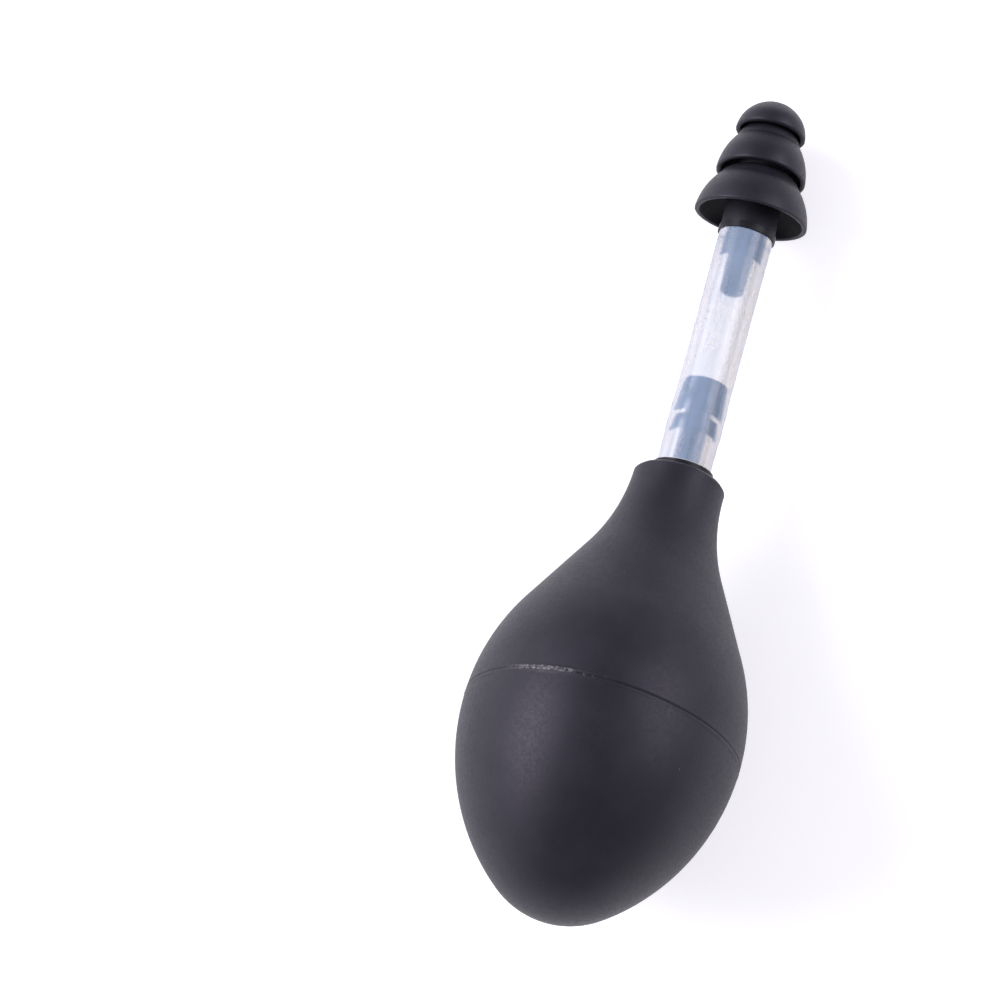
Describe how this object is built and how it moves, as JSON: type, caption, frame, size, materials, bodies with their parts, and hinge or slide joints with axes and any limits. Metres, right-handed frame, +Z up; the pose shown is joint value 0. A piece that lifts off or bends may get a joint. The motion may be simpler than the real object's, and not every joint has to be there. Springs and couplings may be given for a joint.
{
  "type": "dust blower bulb",
  "caption": "Pear-shaped rubber squeeze bulb with a short clear tube and a soft flanged ear-type tip; squeezing it blows a puff of air.",
  "frame": {"origin": "on the surface it lies on, under the centre of its outline", "axes": "+X along the length, from the bulb's base towards the tip; +Z up; +Y to the side the tip leans to"},
  "size_m": [0.0966, 0.0304, 0.0308],
  "materials": {
    "bulb_rubber": "matte moulded rubber, black with a faint violet cast",
    "fitting_plastic": "moulded, satin black",
    "clear_silicone": "milky clear silicone, smooth",
    "tip_silicone": "soft black silicone, satin matte"
  },
  "bodies": {
    "bulb": {"bulb_neck_half": "bulb_rubber", "neck_fitting": "fitting_plastic", "tube": "clear_silicone"},
    "base": {"bulb_base_half": "bulb_rubber"},
    "tube_head": {"tip_connector": "fitting_plastic"},
    "tip": {"ear_tip": "tip_silicone"}
  },
  "joints": [
    {"name": "squeeze", "type": "slide", "parent": "bulb", "child": "base", "axis": [0.9816, 0, -0.1908], "range_m": [0, 0.009], "stiffness_N_per_m": 1200, "deforming": ["bulb_neck_half"]},
    {"name": "tube_bend", "type": "hinge", "parent": "bulb", "child": "tube_head", "pos_m": [0.02016, 0.00051, 0.00774], "axis": [0.1028, 0.0032, 0.9947], "range_deg": [-35, 35], "stiffness_Nm_per_rad": 0.014, "deforming": ["tube"]},
    {"name": "tip_pull", "type": "slide", "parent": "tube_head", "child": "tip", "axis": [0.9942, 0.0314, -0.1029], "range_m": [0, 0.0095]}
  ]
}
